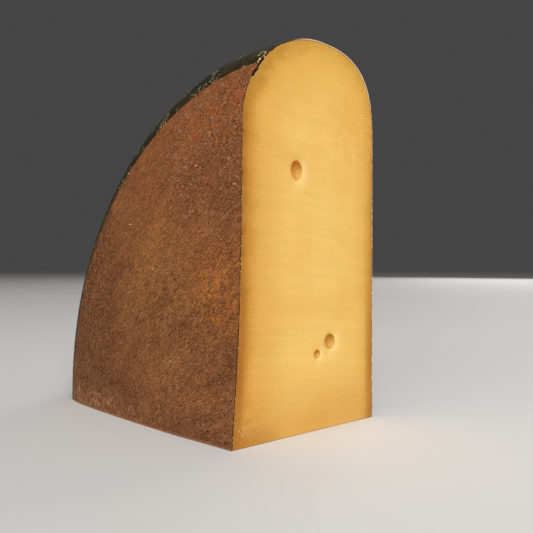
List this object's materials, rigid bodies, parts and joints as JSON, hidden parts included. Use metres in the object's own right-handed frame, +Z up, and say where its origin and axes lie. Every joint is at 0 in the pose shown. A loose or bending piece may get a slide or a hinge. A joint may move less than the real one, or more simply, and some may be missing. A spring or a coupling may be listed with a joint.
{
  "type": "aged gouda",
  "caption": "Upright quarter of a round aged cheese wheel with brown rind, dark rim coat and round eyes in its yellow cut faces.",
  "frame": {"origin": "centre of the bounding box, on the surface that the lower cut face rests on", "axes": "+Z up, +X along the axis of the whole wheel from the near flat face to the far one, -Y out of the vertical cut face"},
  "size_m": [0.094, 0.1632, 0.179],
  "materials": {
    "cheese_paste": "golden yellow aged cheese paste, slightly waxy, amber beside the rind",
    "brown_rind": "dry brown rind, mottled and finely grained",
    "rim_coat": "glossy dark olive coating with small dull gold flecks"
  },
  "bodies": {
    "root": {"gouda_quarter": "cheese_paste"}
  },
  "joints": []
}
